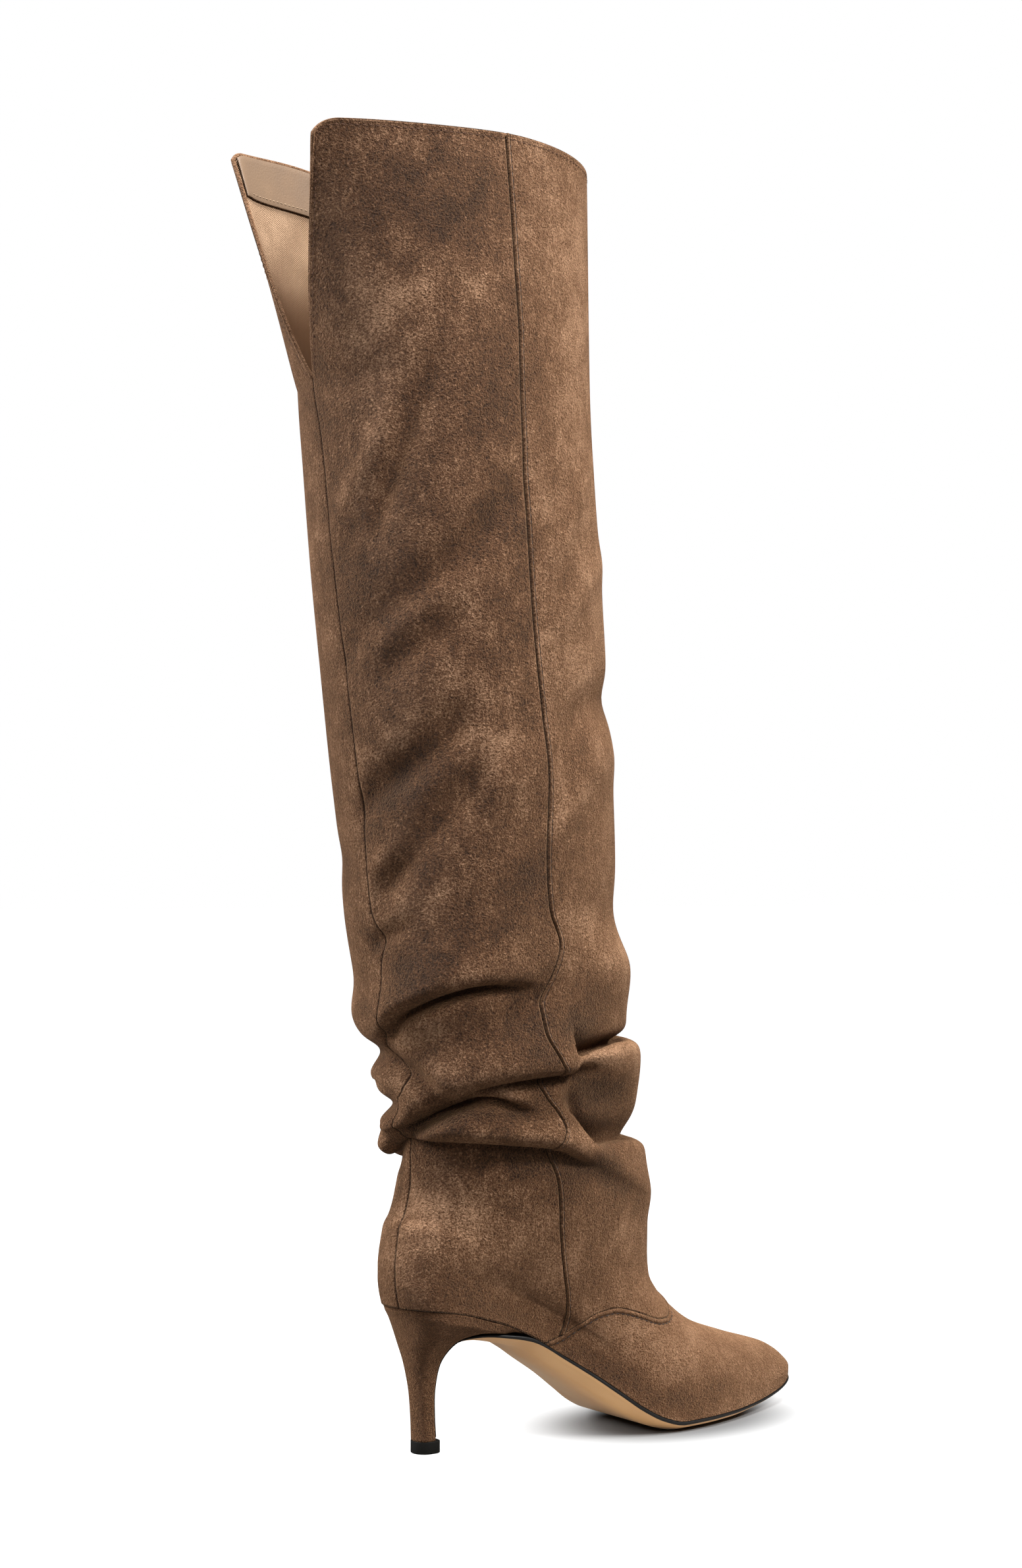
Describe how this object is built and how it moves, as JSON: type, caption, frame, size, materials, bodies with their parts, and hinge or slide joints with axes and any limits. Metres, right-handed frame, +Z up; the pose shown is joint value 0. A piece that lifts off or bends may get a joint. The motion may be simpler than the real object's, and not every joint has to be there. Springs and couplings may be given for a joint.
{
  "type": "over-the-knee boot",
  "caption": "Tall pull-on boot with a slouched shaft, slit collar, almond toe and slim covered heel, standing empty on its sole.",
  "frame": {"origin": "centre of the heel tip's underside, on the floor", "axes": "+X to the toe, +Y to the inner side of the foot, +Z up the shaft"},
  "size_m": [0.3036, 0.1214, 0.585],
  "materials": {
    "suede": "brushed nap",
    "facing": "smooth",
    "footbed": "smooth",
    "sole_tan": "satin",
    "tip_black": "matte"
  },
  "bodies": {
    "root": {"upper": "suede", "collar_facing": "facing", "insole": "footbed", "outsole": "sole_tan", "heel": "suede", "heel_tip": "tip_black"}
  },
  "joints": []
}
